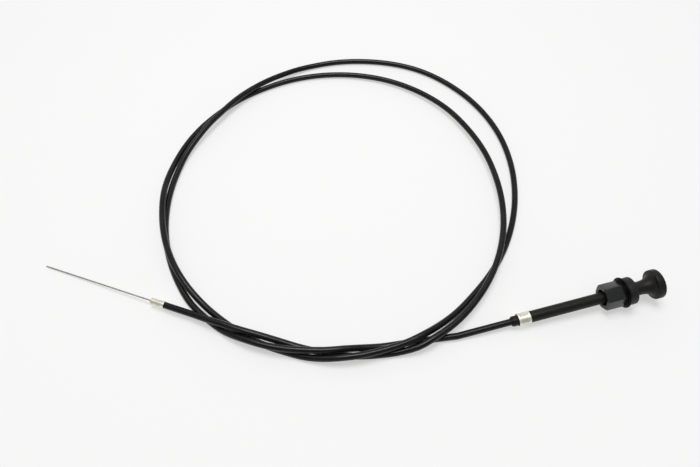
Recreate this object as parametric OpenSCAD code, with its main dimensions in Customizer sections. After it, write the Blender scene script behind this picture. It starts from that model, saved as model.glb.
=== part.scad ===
// Push-pull control cable (choke cable): a mushroom knob on a sliding rod, a
// threaded bushing that clamps in a panel hole, a guide tube, and a sheathed
// solid wire that lies in two wide loops and ends in a bare straight wire.
//
// Millimetres. +X runs along the head towards the knob, +Z is up and the table
// is z = 0. The origin is on the table, under the middle of the head. The head
// leans back a little on the rim of its sealing washer, so its pieces are drawn
// along one tilted line: a station is a distance along that line, counted from
// the cable end of the strain sleeve (station 0) towards the knob.

/* [Head] */
// Lean of the head's axis, knob end up, in degrees
head_tilt = 4; // [0:0.5:8]
// Travel of the knob from pushed in to pulled out
travel = 28; // [15:1:32]

/* [Knob] */
// Diameter of the knob's disc
knob_d = 22; // [18:0.5:30]
// Diameter of the knob's neck
knob_neck_d = 10.2; // [8:0.2:14]
// Length of the straight part of the neck
knob_neck_len = 5.5; // [2:0.5:12]
// Length of the flare that opens from the neck into the disc
knob_flare_len = 9.5; // [5:0.5:14]
// Thickness of the disc's rim
knob_rim = 5.8; // [3.4:0.2:8]
// Rounding of the rim's edges
knob_round = 1.2; // [0.5:0.1:1.9]
// Height of the crown on the face of the disc
knob_crown = 1.2; // [0.4:0.2:3]
// Depth of the rod's socket in the knob
knob_socket = 12; // [6:0.5:15]

/* [Rod] */
// Diameter of the sliding rod
rod_d = 5; // [4:0.1:5.4]
// Depth of the wire's hole in the end of the rod
rod_hole = 10; // [5:1:16]
// Width of the stop collar on the rod
collar_w = 5; // [3:0.5:8]

/* [Bushing] */
// Diameter of the bushing's flange
flange_d = 20.5; // [19:0.5:30]
// Thickness of the flange
flange_w = 6.5; // [4:0.5:8]
// Rounding of the flange's edges
flange_round = 0.8; // [0.2:0.1:1.6]
// Outer diameter of the bushing's shank, whose thread is M12 x 1.5
shank_d = 12; // [11.5:0.1:14]
// Length of the shank behind the flange
shank_len = 13.5; // [12:0.5:22]
// Bevel on the shank's end, where the nut starts on its thread
shank_bevel = 0.8; // [0.3:0.1:1]
// Width of the wall that the rod slides through, flange included
rod_wall = 8; // [7:0.5:10]
// Section of the friction ring
ring_d = 1.5; // [1:0.1:1.8]
// Depth of the friction ring's groove behind the front face
ring_depth = 2.2; // [1.8:0.1:3]

/* [Washers and nut] */
// Diameter of the sealing washer
seal_d = 23; // [21:0.5:32]
// Thickness of the sealing washer
seal_w = 2.3; // [2.3:0.1:4]
// Rounding of the sealing washer's rim
seal_round = 1.1; // [0.2:0.1:1.2]
// Diameter of the plain washer
washer_d = 19.5; // [18:0.5:26]
// Thickness of the plain washer
washer_w = 0.6; // [0.6:0.1:2]
// Width of the nut across its flats
nut_flats = 17; // [15.5:0.5:21]
// Length of the nut
nut_len = 13.7; // [10:0.1:18]
// Depth of the bevel round the nut's ends
nut_bevel = 1; // [0.4:0.1:1.6]
// Turn of the nut on its thread, in degrees
nut_phase = -10; // [-60:1:60]

/* [Guide tube and crimp] */
// Outer diameter of the guide tube
tube_d = 8.5; // [8.1:0.1:9.2]
// Bore of the guide tube
tube_bore = 6.5; // [6:0.1:7]
// Length of the guide tube
tube_len = 76.5; // [60:0.5:110]
// Depth of the guide tube's end in the crimp ferrule
crimp_grip = 4.5; // [3:0.5:8]
// Wall of the crimp ferrule's round ends, outside the guide tube
crimp_wall = 0.6; // [0.45:0.05:1.25]
// Depth of the crimp ferrule's pressed flats below its round ends
crimp_press = 0.25; // [0.05:0.025:0.3]
// Width of the round lip at each end of the crimp ferrule
crimp_lip = 1.4; // [0.5:0.1:2.5]
// Turn of the crimp ferrule's flats about the head, in degrees
crimp_phase = -16; // [-30:1:30]
// Length of the strain sleeve outside the crimp ferrule
sleeve_len = 5; // [4.5:0.5:12]
// Diameter of the strain sleeve beside the crimp ferrule
sleeve_d = 7.6; // [7.2:0.1:8.3]
// Diameter of the strain sleeve at its free end
sleeve_end_d = 6.7; // [6:0.1:7.1]
// Width of the sleeve's wider step
sleeve_step = 4.2; // [2:0.1:4.4]
// Width of the sleeve's inner lip, which the sheath's end stands on
sleeve_lip = 0.5; // [0.3:0.1:1.5]

/* [Cable] */
// Outer diameter of the sheath
sheath_d = 5; // [4.4:0.1:5.2]
// Outer diameter of the steel armour under the sheath's skin
armour_d = 3.8; // [3.2:0.1:4.2]
// Outer diameter of the liner in the armour
liner_d = 2.4; // [2.1:0.1:2.8]
// Bore of the liner
liner_bore = 1.6; // [1.4:0.1:1.8]
// Diameter of the solid core wire
wire_d = 1.2; // [0.8:0.1:1.3]
// Length of the straight sheath outside the strain sleeve
head_straight = 36; // [32:1:37]

/* [Wire end] */
// Outer diameter of the end ferrule
ferrule_d = 5.6; // [5.4:0.1:6.4]
// Length of the end ferrule
ferrule_len = 11.5; // [10.5:0.5:18]
// Length of the armour inside the end ferrule
ferrule_grip = 8.5; // [5:0.5:9]
// Width of the end ferrule across its pressed flats
ferrule_flats = 4.9; // [4.7:0.05:4.95]
// Height of the end ferrule's lip above the round corners between its flats
ferrule_press = 0.2; // [0.15:0.05:0.25]
// Turn of the end ferrule's flats about the wire, in degrees
ferrule_phase = 18; // [-30:1:30]
// Width of the round lip at the back of the end ferrule
ferrule_lip = 1.4; // [0.5:0.1:2.5]
// Rounding of the end ferrule's nose
ferrule_nose = 1.1; // [0.3:0.1:1.2]
// Length of bare wire that stands out of the end ferrule
bare_wire = 94.5; // [60:0.5:110]
// Length of the wire that stays in the end ferrule with the knob pushed in
wire_hold = 3; // [2:0.5:4]

/* [Clearances] */
// Clearance round the rod and its collar, all the way round
slide_gap = 0.1; // [0.02:0.01:0.1]
// Clearance between the nut's bore and the shank, all the way round
thread_gap = 0.1; // [0.02:0.01:0.1]
// Clearance between the rod and its friction ring
ring_gap = 0.03; // [0.02:0.01:0.08]
// Gap left where a moving piece comes up to its stop
stop_gap = 0.3; // [0.1:0.05:0.5]
// Gap left between the washers and between washer and nut
face_gap = 0.1; // [0.05:0.05:0.3]
// Clearance round the wire in the mouth of the end ferrule
wire_gap = 0.8; // [0.65:0.05:0.85]
// Room past the head wire's end in the straight sheath, knob pushed in
head_room = 4.5; // [1:0.5:8]
// Room past the tail wire's end in the straight sheath, knob pulled out
tail_room = 0.5; // [0.5:0.5:4]
// Least height of a crossing strand above the strand that it crosses
cross_gap = 0.5; // [0.45:0.05:1.5]

/* [Hidden] */

$fn = 72;
cut = 1;           // how far a cutting tool runs past the face that it cuts
arc_steps = 12;    // steps in a quarter of a drawn curve

// Stations along the head's axis.
crimp_at = sleeve_len;
crimp_len = 2 * crimp_grip;
tube_at = crimp_at + crimp_grip;
sheath_stop = tube_at - sleeve_lip;
shoulder_at = tube_at + tube_len;
front_at = shoulder_at + rod_wall;
flange_at = front_at - flange_w;
bushing_at = flange_at - shank_len;
ring_at = front_at - ring_depth;
knob_at = front_at + stop_gap;
seal_at = flange_at - seal_w;
washer_at = seal_at - face_gap - washer_w;
nut_at = washer_at - face_gap - nut_len;
collar_at = shoulder_at - stop_gap - travel - collar_w;
rod_at = collar_at;
rod_end = knob_at + knob_socket;
wire_end = head_room - head_straight;

// Fits that several pieces share.
rod_bore = rod_d + 2 * slide_gap;
collar_d = tube_bore - 2 * slide_gap;
crimp_d = tube_d + 2 * crimp_wall;
crimp_flats = crimp_d - 2 * crimp_press;
nut_bore = shank_d + 2 * thread_gap;
washer_bore = shank_d + 4 * thread_gap;
ring_bore = rod_d + 2 * ring_gap;
groove_d = ring_bore + 2 * ring_d;
groove_w = ring_d + 2 * slide_gap;
ferrule_hole = wire_d + 2 * wire_gap;

// The knob's outline from the neck's end face to the middle of its crown, as
// points of radius and length.
flare_out = knob_d / 2 - knob_round - knob_neck_d / 2;
rim_at = knob_neck_len + knob_flare_len;
knob_profile = concat(
    [[knob_neck_d / 2, 0]],
    [for (i = [0 : arc_steps])
        let (a = 90 * i / arc_steps)
        [knob_neck_d / 2 + flare_out * (1 - cos(a)),
         knob_neck_len + knob_flare_len * sin(a)]],
    [for (i = [1 : arc_steps])
        let (a = -90 + 90 * i / arc_steps)
        [knob_d / 2 - knob_round + knob_round * cos(a),
         rim_at + knob_round + knob_round * sin(a)]],
    [for (i = [0 : arc_steps])
        let (a = 90 * i / arc_steps)
        [knob_d / 2 - knob_round + knob_round * cos(a),
         rim_at + knob_rim - knob_round + knob_round * sin(a)]],
    [for (i = [1 : arc_steps])
        let (u = i / arc_steps)
        [(knob_d / 2 - knob_round) * (1 - u),
         rim_at + knob_rim + knob_crown * (1 - pow(1 - u, 2))]]);

// Where the head's axis runs: the sealing washer's lower rim stands on the
// table, and the head's box is centred over the origin.
axis_z = (seal_d / 2 - seal_round) * cos(head_tilt) + seal_round
    - (seal_at + seal_round) * sin(head_tilt);
knob_reach = max([for (p = knob_profile)
    (knob_at + p[1]) * cos(head_tilt) + p[0] * sin(head_tilt)]);
axis_x = -(knob_reach - sleeve_end_d / 2 * sin(head_tilt)) / 2;

// Point on the head's axis at a station.
function head_point(station) =
    [axis_x + station * cos(head_tilt), 0, axis_z + station * sin(head_tilt)];

// The wire end: where the sheath meets the end ferrule, which way the wire
// points from there, seen from above, and how far it dips.
tail_point = [-301.7, 74.5, 5.3];
tail_bearing = 146.3;
tail_dip = 2.5;
tail_dir = [cos(tail_bearing) * cos(tail_dip), sin(tail_bearing) * cos(tail_dip),
            -sin(tail_dip)];
// Straight sheath behind the end ferrule, which the bare wire draws back into.
tail_straight = travel + tail_room + wire_hold - ferrule_len;

// The sheath's loops: their common centre, and the radius at bearings that
// count down from the head, clockwise seen from above, one turn per 360.
loop_centre = [-150.7, 149];
loop_radius = [
    [-73, 154], [-78, 150], [-84, 146], [-90, 144], [-96, 143], [-101, 143.5],
    [-106, 145], [-112, 146.5], [-118, 148.5], [-124, 150.5], [-130, 152],
    [-136, 153], [-142, 153], [-150, 153], [-158, 151], [-166, 149],
    [-176, 146.5], [-187, 144], [-198, 142], [-210, 140.5], [-220, 138.5],
    [-231, 138.5], [-242, 141.5], [-252, 144.5], [-260, 148.5], [-269, 154],
    [-276, 157], [-290, 161.5], [-312, 166], [-328, 163.5], [-348, 157.5],
    [-361, 152.5], [-374, 148], [-386, 145], [-404, 142.5], [-418, 142],
    [-429, 144], [-437, 146], [-444, 147.5], [-452, 148.5], [-460, 150],
    [-466, 150.5], [-472, 150], [-478, 149], [-486, 148.5], [-494, 147.5],
    [-500, 147], [-508, 147], [-516, 147.5], [-524, 147.5], [-535, 147],
    [-546, 146.5], [-556, 147], [-564, 147], [-572, 146.5], [-582, 145.5],
    [-593, 144], [-602, 143.5], [-612, 142.5], [-628, 142], [-644, 141],
    [-660, 139.5], [-677, 137], [-690, 135], [-704, 132.5], [-717, 132],
    [-729, 132.5], [-742, 135], [-754, 138.5], [-766, 142.5], [-778, 146.5],
    [-788, 150], [-796, 152], [-802, 153], [-806, 151.5], [-810, 150],
    [-816, 148.5], [-822, 147], [-828, 145], [-834, 143.5], [-840, 143],
    [-846, 144.5], [-852, 147.5], [-858, 151], [-864, 156], [-867, 159]];
// Where a strand rides over others: the bearings at which it starts to climb,
// is up, starts down and is down again, and its height in crossings.
ride_over = [
    [-90, -106, -127.5, -140, 1], [-200, -228, -248, -276, 1],
    [-424, -441, -460.5, -475, 1], [-504, -522, -545, -568, 1],
    [-625, -745, -797, -810, 1.05], [-834, -853, -857, -878, 1.2]];
loop_from = -78;
loop_to = -858;
loop_last = -862;
ring_step = 6;
sheath_sides = 8;

// Slope of a table at row k, from the rows before and after it.
function row_slope(t, k) =
    let (a = max(k - 1, 0), b = min(k + 1, len(t) - 1))
    a == k || b == k ? (t[b][1] - t[a][1]) / (t[b][0] - t[a][0])
    : let (h0 = t[k][0] - t[a][0], h1 = t[b][0] - t[k][0],
           d0 = (t[k][1] - t[a][1]) / h0, d1 = (t[b][1] - t[k][1]) / h1)
      (d0 * h1 + d1 * h0) / (h0 + h1);
// Smooth value of a falling table at x.
function table_at(t, x) =
    let (k = [for (i = [0 : len(t) - 2]) if (t[i][0] >= x && x >= t[i + 1][0]) i][0],
         h = t[k + 1][0] - t[k][0],
         u = (x - t[k][0]) / h)
    (2 * pow(u, 3) - 3 * pow(u, 2) + 1) * t[k][1]
    + (pow(u, 3) - 2 * pow(u, 2) + u) * h * row_slope(t, k)
    + (3 * pow(u, 2) - 2 * pow(u, 3)) * t[k + 1][1]
    + (pow(u, 3) - pow(u, 2)) * h * row_slope(t, k + 1);
function ease(u) =
    let (v = min(max(u, 0), 1))
    v * v * (3 - 2 * v);
// Height of the sheath's centre line at a bearing.
function loop_height(b) =
    sheath_d / 2 + (sheath_d + cross_gap) * max([for (r = ride_over)
        r[4] * ease((r[0] - b) / (r[0] - r[1])) * ease((b - r[3]) / (r[2] - r[3]))]);
function loop_point(b) =
    let (r = table_at(loop_radius, b))
    [loop_centre[0] + r * cos(b), loop_centre[1] + r * sin(b), loop_height(b)];

// The run's centre line: straight for one sheath diameter out of the head's
// straight end, round the loops, and straight into the tail's straight end.
run_start = head_point(-head_straight);
run_end = tail_point - tail_straight * tail_dir;
run_points = concat(
    [run_start, head_point(-head_straight - sheath_d)],
    [for (b = [loop_from : -ring_step : loop_to]) loop_point(b)],
    [loop_point(loop_last)],
    [run_end - sheath_d * tail_dir, run_end]);

function unit(v) = v / norm(v);
// Direction of a centre line at point k: that of its end piece at an end.
function run_dir(pts, k) =
    k == 0 ? unit(pts[1] - pts[0])
    : k == len(pts) - 1 ? unit(pts[k] - pts[k - 1])
    : unit(unit(pts[k + 1] - pts[k]) + unit(pts[k] - pts[k - 1]));
// One ring of a tube round a centre line, with a corner straight down.
function run_ring(pts, k, d, sides) =
    let (dir = run_dir(pts, k),
         side = unit(cross([0, 0, 1], dir)),
         up = cross(dir, side))
    [for (i = [0 : sides - 1])
        let (a = -90 + 360 * i / sides)
        pts[k] + d / 2 * (cos(a) * side + sin(a) * up)];
// Distance from point p to the segment from a to b.
function point_gap(p, a, b) =
    let (u = min(max((p - a) * (b - a) / ((b - a) * (b - a)), 0), 1))
    norm(p - a - u * (b - a));
// Least gap of the run to itself, leaving out neighbours along the run.
function self_gap(pts, apart) =
    min([for (i = [0 : len(pts) - 1], j = [0 : len(pts) - 2])
        if (abs(i - j) > apart) point_gap(pts[i], pts[j], pts[j + 1])]) - sheath_d;
function run_length(pts) =
    [for (i = [1 : len(pts) - 1]) norm(pts[i] - pts[i - 1])]
    * [for (i = [1 : len(pts) - 1]) 1];

// Puts what is drawn along +Z on the head's axis, from a station on.
module on_head(station) {
    translate(head_point(station))
        rotate([0, 90 - head_tilt, 0])
            children();
}

// Puts what is drawn along +Z on the wire end's axis, from a distance past the
// point where the sheath meets the end ferrule.
module on_tail(distance) {
    translate(tail_point + distance * tail_dir)
        rotate([0, 90 + tail_dip, tail_bearing])
            children();
}

// Round tube along +Z.
module pipe(d, bore, length) {
    difference() {
        cylinder(d = d, h = length);
        translate([0, 0, -cut])
            cylinder(d = bore, h = length + 2 * cut);
    }
}

// Flat ring along +Z with rounded outer edges.
module round_ring(d, bore, width, edge) {
    rotate_extrude()
        difference() {
            union() {
                square([d / 2 - edge, width]);
                translate([0, edge])
                    square([d / 2, width - 2 * edge]);
                for (y = [edge, width - edge])
                    translate([d / 2 - edge, y])
                        circle(r = edge);
            }
            translate([-cut, -cut])
                square([cut + bore / 2, width + 2 * cut]);
        }
}

// Hexagonal prism along +Z whose corners are bevelled at both ends.
module hex_bar(flats, length, bevel) {
    corners = flats / cos(30);
    intersection() {
        cylinder(d = corners, h = length, $fn = 6);
        rotate_extrude()
            polygon([[0, 0], [corners / 2 - bevel, 0],
                     [corners / 2, bevel * tan(30)],
                     [corners / 2, length - bevel * tan(30)],
                     [corners / 2 - bevel, length], [0, length]]);
    }
}

module knob() {
    color("#26251f")
        on_head(knob_at)
            difference() {
                rotate_extrude()
                    polygon(concat([[0, 0]], knob_profile));
                translate([0, 0, -cut])
                    cylinder(d = rod_d, h = knob_socket + cut);
            }
}

module pull_rod() {
    color("#b9b9b4")
        on_head(rod_at)
            difference() {
                cylinder(d = rod_d, h = rod_end - rod_at);
                translate([0, 0, -cut])
                    cylinder(d = wire_d, h = rod_hole + cut);
            }
}

module stop_collar() {
    color("#8f8f8a")
        on_head(collar_at)
            pipe(collar_d, rod_d, collar_w);
}

module core_wire_head() {
    color("#a9aaac")
        on_head(wire_end)
            cylinder(d = wire_d, h = rod_at + rod_hole - wire_end);
}

// Shank, flange, the socket that takes the guide tube, the rod's bore and the
// groove of its friction ring.
module bushing() {
    color("#2b292c")
        on_head(bushing_at)
            difference() {
                union() {
                    cylinder(d1 = shank_d - 2 * shank_bevel, d2 = shank_d,
                             h = shank_bevel);
                    translate([0, 0, shank_bevel])
                        cylinder(d = shank_d,
                                 h = shank_len + flange_w / 2 - shank_bevel);
                    translate([0, 0, shank_len])
                        round_ring(flange_d, 0, flange_w, flange_round);
                }
                translate([0, 0, -cut])
                    cylinder(d = tube_d, h = cut + shoulder_at - bushing_at);
                cylinder(d = rod_bore, h = shank_len + flange_w + cut);
                translate([0, 0, ring_at - bushing_at - groove_w / 2])
                    cylinder(d = groove_d, h = groove_w);
            }
}

module friction_ring() {
    color("#111111")
        on_head(ring_at)
            rotate_extrude()
                translate([ring_bore / 2 + ring_d / 2, 0])
                    circle(d = ring_d, $fn = 32);
}

module sealing_washer() {
    color("#0a0a0c")
        on_head(seal_at)
            round_ring(seal_d, shank_d, seal_w, seal_round);
}

module plain_washer() {
    color("#2c2b2c")
        on_head(washer_at)
            pipe(washer_d, washer_bore, washer_w);
}

module mounting_nut() {
    color("#3a3a3a")
        on_head(nut_at)
            difference() {
                rotate([0, 0, nut_phase])
                    hex_bar(nut_flats, nut_len, nut_bevel);
                translate([0, 0, -cut])
                    cylinder(d = nut_bore, h = nut_len + 2 * cut);
            }
}

module guide_tube() {
    color("#24231f")
        on_head(tube_at)
            pipe(tube_d, tube_bore, tube_len);
}

// Thin zinc sleeve, round at its ends and pressed to a hexagon between them.
module crimp_ferrule() {
    color("#d8d4bd")
        on_head(crimp_at)
            difference() {
                union() {
                    intersection() {
                        rotate([0, 0, 30 + crimp_phase])
                            cylinder(d = crimp_flats / cos(30), h = crimp_len, $fn = 6);
                        cylinder(d = crimp_d, h = crimp_len);
                    }
                    for (z = [0, crimp_len - crimp_lip])
                        translate([0, 0, z])
                            cylinder(d = crimp_d, h = crimp_lip);
                }
                translate([0, 0, -cut])
                    cylinder(d = tube_d, h = crimp_len + 2 * cut);
            }
}

// Stepped plug that fills the crimp ferrule round the sheath.
module strain_sleeve() {
    color("#1d1d1b")
        on_head(0)
            difference() {
                union() {
                    cylinder(d = sleeve_end_d, h = sleeve_len + crimp_grip);
                    translate([0, 0, sleeve_len - sleeve_step])
                        cylinder(d = sleeve_d, h = sleeve_step + crimp_grip);
                    translate([0, 0, sleeve_len])
                        cylinder(d = tube_d, h = crimp_grip);
                }
                translate([0, 0, -cut])
                    cylinder(d = sheath_d, h = sheath_stop + cut);
                cylinder(d = liner_d, h = sleeve_len + crimp_grip + cut);
            }
}

module sheath_head_end() {
    color("#232323")
        on_head(-head_straight)
            pipe(sheath_d, armour_d, head_straight + sheath_stop);
}

module armour_head_end() {
    color("#8b8d8f")
        on_head(-head_straight)
            pipe(armour_d, liner_d, head_straight + sheath_stop);
}

module liner_head_end() {
    color("#e6e3d8")
        on_head(-head_straight)
            pipe(liner_d, liner_bore, head_straight + sheath_stop);
}

// The sheath's free length in its two loops, one unbroken tube.
module sheath_run() {
    echo(sheath_least_gap = self_gap(run_points, 4),
         sheath_run_length = run_length(run_points));
    n = len(run_points);
    s = sheath_sides;
    color("#232323")
        polyhedron(
            points = [for (k = [0 : n - 1])
                each run_ring(run_points, k, sheath_d, s)],
            faces = concat(
                [for (i = [1 : s - 2]) [0, i, i + 1]],
                [for (k = [0 : n - 2], i = [0 : s - 1])
                    let (a = k * s + i, b = k * s + (i + 1) % s)
                    each [[a, a + s, b + s], [a, b + s, b]]],
                [for (i = [1 : s - 2])
                    [(n - 1) * s, (n - 1) * s + i + 1, (n - 1) * s + i]]));
}

module sheath_tail_end() {
    color("#232323")
        on_tail(-tail_straight)
            pipe(sheath_d, armour_d, tail_straight);
}

module armour_tail_end() {
    color("#8b8d8f")
        on_tail(-tail_straight)
            pipe(armour_d, liner_d, tail_straight + ferrule_grip);
}

module liner_tail_end() {
    color("#e6e3d8")
        on_tail(-tail_straight)
            pipe(liner_d, liner_bore, tail_straight + ferrule_grip);
}

// Zinc cap with a round lip at the back, pressed to a hexagon on the armour and
// rounded at its nose.
module tail_ferrule() {
    nose_steps = arc_steps / 2;
    color("#cfcab4")
        on_tail(0)
            difference() {
                intersection() {
                    union() {
                        intersection() {
                            rotate([0, 0, 30 + ferrule_phase])
                                cylinder(d = ferrule_flats / cos(30), h = ferrule_len,
                                         $fn = 6);
                            cylinder(d = ferrule_d - 2 * ferrule_press,
                                     h = ferrule_len);
                        }
                        cylinder(d = ferrule_d, h = ferrule_lip);
                    }
                    rotate_extrude()
                        polygon(concat(
                            [[0, 0], [ferrule_d / 2, 0]],
                            [for (i = [0 : nose_steps])
                                let (a = 90 * i / nose_steps)
                                [ferrule_d / 2 - ferrule_nose * (1 - cos(a)),
                                 ferrule_len - ferrule_nose * (1 - sin(a))]],
                            [[0, ferrule_len]]));
                }
                translate([0, 0, -cut])
                    cylinder(d = armour_d, h = ferrule_grip + cut);
                cylinder(d = ferrule_hole, h = ferrule_len + cut);
            }
}

module core_wire_tail() {
    color("#b4b2ab")
        on_tail(ferrule_len - wire_hold)
            cylinder(d = wire_d, h = wire_hold + bare_wire);
}

knob();
pull_rod();
stop_collar();
core_wire_head();
bushing();
friction_ring();
sealing_washer();
plain_washer();
mounting_nut();
guide_tube();
crimp_ferrule();
strain_sleeve();
sheath_head_end();
armour_head_end();
liner_head_end();
sheath_run();
sheath_tail_end();
armour_tail_end();
liner_tail_end();
tail_ferrule();
core_wire_tail();
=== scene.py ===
# %% [markdown]
# # A push-pull control cable
# A knob on a sliding rod pushes and pulls a solid wire through two metres of
# black sheath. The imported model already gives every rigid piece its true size
# and place. This lesson adds what an eye close to it would see: the smooth run
# of the sheath, rounded and pressed edges, a real thread on the bushing, and
# the finish of each plastic, rubber and metal.

# %% Load the frame
import math

import bpy
from mathutils import Euler, Matrix, Vector


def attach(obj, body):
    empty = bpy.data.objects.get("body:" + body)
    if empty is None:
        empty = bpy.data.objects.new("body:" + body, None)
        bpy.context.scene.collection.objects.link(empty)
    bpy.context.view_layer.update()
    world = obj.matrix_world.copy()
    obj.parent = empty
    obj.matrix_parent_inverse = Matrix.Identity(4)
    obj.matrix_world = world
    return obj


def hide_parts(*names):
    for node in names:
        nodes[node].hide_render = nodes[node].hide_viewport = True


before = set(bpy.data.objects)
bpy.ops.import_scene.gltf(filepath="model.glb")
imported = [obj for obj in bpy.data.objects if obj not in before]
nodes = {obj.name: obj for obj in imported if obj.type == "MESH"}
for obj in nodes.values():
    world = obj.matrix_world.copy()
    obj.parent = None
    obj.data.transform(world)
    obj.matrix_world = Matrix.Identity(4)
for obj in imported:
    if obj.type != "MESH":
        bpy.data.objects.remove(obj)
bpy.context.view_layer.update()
MM = 0.001

# %% [markdown]
# ## The camera
# The cable lies on a table and is seen from above and in front. The camera
# looks down by 57 degrees and is turned 14 degrees to the right, so that the
# head lies across the lower right of the picture. It comes first, because the
# cord check measures what it sees. The Standard view shows each colour as it is
# written.

# %% Camera
LOOK_DOWN, TURNED_RIGHT = 57.0, 13.94
# Distance of the picture plane, as a share of the picture's width.
PLANE_AT = 586 / 700
lens = bpy.data.cameras.new("camera")
lens.sensor_width = 36
lens.lens = PLANE_AT * lens.sensor_width
lens.clip_start, lens.clip_end = 0.01, 60
camera = bpy.data.objects.new("camera", lens)
camera.location = (-0.2147, -0.1449, 0.3984)
camera.rotation_euler = (math.radians(90 - LOOK_DOWN), 0, math.radians(-TURNED_RIGHT))
bpy.context.scene.collection.objects.link(camera)
bpy.context.scene.camera = camera
bpy.context.scene.view_settings.view_transform = "Standard"
print("lens %.1f mm, %.3f m above the table" % (lens.lens, camera.location.z))

# %% [markdown]
# ## Two lines to build on
# Every turned piece of the head sits on one tilted line, because the head rests
# on the rim of its big rubber washer. A station is a distance along that line.
# The end ferrule and the bare wire have a line of their own. A piece is built
# upright round the Z axis, which keeps the sums easy, and is then laid on its
# line with its place applied to its mesh, so that its object stays at the
# origin.

# %% The head's line and the wire end's line
HEAD_TILT = math.radians(4)
HEAD_START = Vector((-57.94, 0, 5.455)) * MM
HEAD_TURN = Euler((0, math.pi / 2 - HEAD_TILT, 0))
HEAD_DIR = Vector((math.cos(HEAD_TILT), 0, math.sin(HEAD_TILT)))

TAIL_BEARING, TAIL_DIP = math.radians(146.3), math.radians(2.5)
TAIL_START = Vector((-301.7, 74.5, 5.3)) * MM
TAIL_TURN = Euler((0, math.pi / 2 + TAIL_DIP, TAIL_BEARING))
TAIL_DIR = Vector((math.cos(TAIL_BEARING) * math.cos(TAIL_DIP),
                   math.sin(TAIL_BEARING) * math.cos(TAIL_DIP),
                   -math.sin(TAIL_DIP)))


def head_point(station):
    return HEAD_START + HEAD_DIR * (station * MM)


def tail_point(distance):
    return TAIL_START + TAIL_DIR * (distance * MM)


def select(*pieces):
    """Selects these pieces alone, the first as the active one."""
    bpy.ops.object.select_all(action="DESELECT")
    for piece in pieces:
        piece.select_set(True)
    bpy.context.view_layer.objects.active = pieces[0]


def lay(piece, point, turn, roll=0.0):
    """Lays a piece that stands upright at the origin on its line."""
    piece.matrix_world = (Matrix.Translation(point) @ turn.to_matrix().to_4x4()
                          @ Matrix.Rotation(math.radians(roll), 4, "Z"))
    select(piece)
    bpy.ops.object.transform_apply(location=True, rotation=True, scale=True)


print("head line from", tuple(round(v, 4) for v in HEAD_START))

# %% [markdown]
# ## The route of the sheath
# The sheath lies in two wide loops. Each loop could be drawn by hand, but a
# table is easier to mend: it gives the radius round a common centre at each
# bearing, one turn for 360 degrees, and a second table says where a strand
# climbs over the strands that already lie there. Between its rows the radius
# follows a smooth cubic, and each climb eases in and out.

# %% Route tables
SHEATH_D, CROSS_GAP = 5 * MM, 0.5 * MM
LOOP_CENTRE = Vector((-150.7, 149, 0)) * MM
LOOP_RADIUS = [
    (-73, 154), (-78, 150), (-84, 146), (-90, 144), (-96, 143), (-101, 143.5),
    (-106, 145), (-112, 146.5), (-118, 148.5), (-124, 150.5), (-130, 152),
    (-136, 153), (-142, 153), (-150, 153), (-158, 151), (-166, 149),
    (-176, 146.5), (-187, 144), (-198, 142), (-210, 140.5), (-220, 138.5),
    (-231, 138.5), (-242, 141.5), (-252, 144.5), (-260, 148.5), (-269, 154),
    (-276, 157), (-290, 161.5), (-312, 166), (-328, 163.5), (-348, 157.5),
    (-361, 152.5), (-374, 148), (-386, 145), (-404, 142.5), (-418, 142),
    (-429, 144), (-437, 146), (-444, 147.5), (-452, 148.5), (-460, 150),
    (-466, 150.5), (-472, 150), (-478, 149), (-486, 148.5), (-494, 147.5),
    (-500, 147), (-508, 147), (-516, 147.5), (-524, 147.5), (-535, 147),
    (-546, 146.5), (-556, 147), (-564, 147), (-572, 146.5), (-582, 145.5),
    (-593, 144), (-602, 143.5), (-612, 142.5), (-628, 142), (-644, 141),
    (-660, 139.5), (-677, 137), (-690, 135), (-704, 132.5), (-717, 132),
    (-729, 132.5), (-742, 135), (-754, 138.5), (-766, 142.5), (-778, 146.5),
    (-788, 150), (-796, 152), (-802, 153), (-806, 151.5), (-810, 150),
    (-816, 148.5), (-822, 147), (-828, 145), (-834, 143.5), (-840, 143),
    (-846, 144.5), (-852, 147.5), (-858, 151), (-864, 156), (-867, 159)]
# Climb starts, is up, way down starts, is down, height in crossings.
RIDE_OVER = [
    (-90, -106, -127.5, -140, 1), (-200, -228, -248, -276, 1),
    (-424, -441, -460.5, -475, 1), (-504, -522, -545, -568, 1),
    (-625, -745, -797, -810, 1.05), (-834, -853, -857, -878, 1.2)]


def row_slope(table, row):
    """Slope of a table at a row, weighed from the rows beside it."""
    before, after = max(row - 1, 0), min(row + 1, len(table) - 1)
    if row in (before, after):
        return ((table[after][1] - table[before][1])
                / (table[after][0] - table[before][0]))
    h0 = table[row][0] - table[before][0]
    h1 = table[after][0] - table[row][0]
    d0 = (table[row][1] - table[before][1]) / h0
    d1 = (table[after][1] - table[row][1]) / h1
    return (d0 * h1 + d1 * h0) / (h0 + h1)


def table_at(table, x):
    """Smooth value of a falling table at x."""
    row = next(i for i in range(len(table) - 1) if table[i][0] >= x >= table[i + 1][0])
    h = table[row + 1][0] - table[row][0]
    u = (x - table[row][0]) / h
    return ((2 * u**3 - 3 * u**2 + 1) * table[row][1]
            + (u**3 - 2 * u**2 + u) * h * row_slope(table, row)
            + (3 * u**2 - 2 * u**3) * table[row + 1][1]
            + (u**3 - u**2) * h * row_slope(table, row + 1))


def ease(u):
    u = min(max(u, 0), 1)
    return u * u * (3 - 2 * u)


def loop_point(bearing):
    lift = max(share * ease((start - bearing) / (start - up))
               * ease((bearing - down) / (off - down))
               for start, up, off, down, share in RIDE_OVER)
    radius, angle = table_at(LOOP_RADIUS, bearing) * MM, math.radians(bearing)
    return LOOP_CENTRE + Vector((radius * math.cos(angle), radius * math.sin(angle),
                                 SHEATH_D / 2 + lift * (SHEATH_D + CROSS_GAP)))


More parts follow.
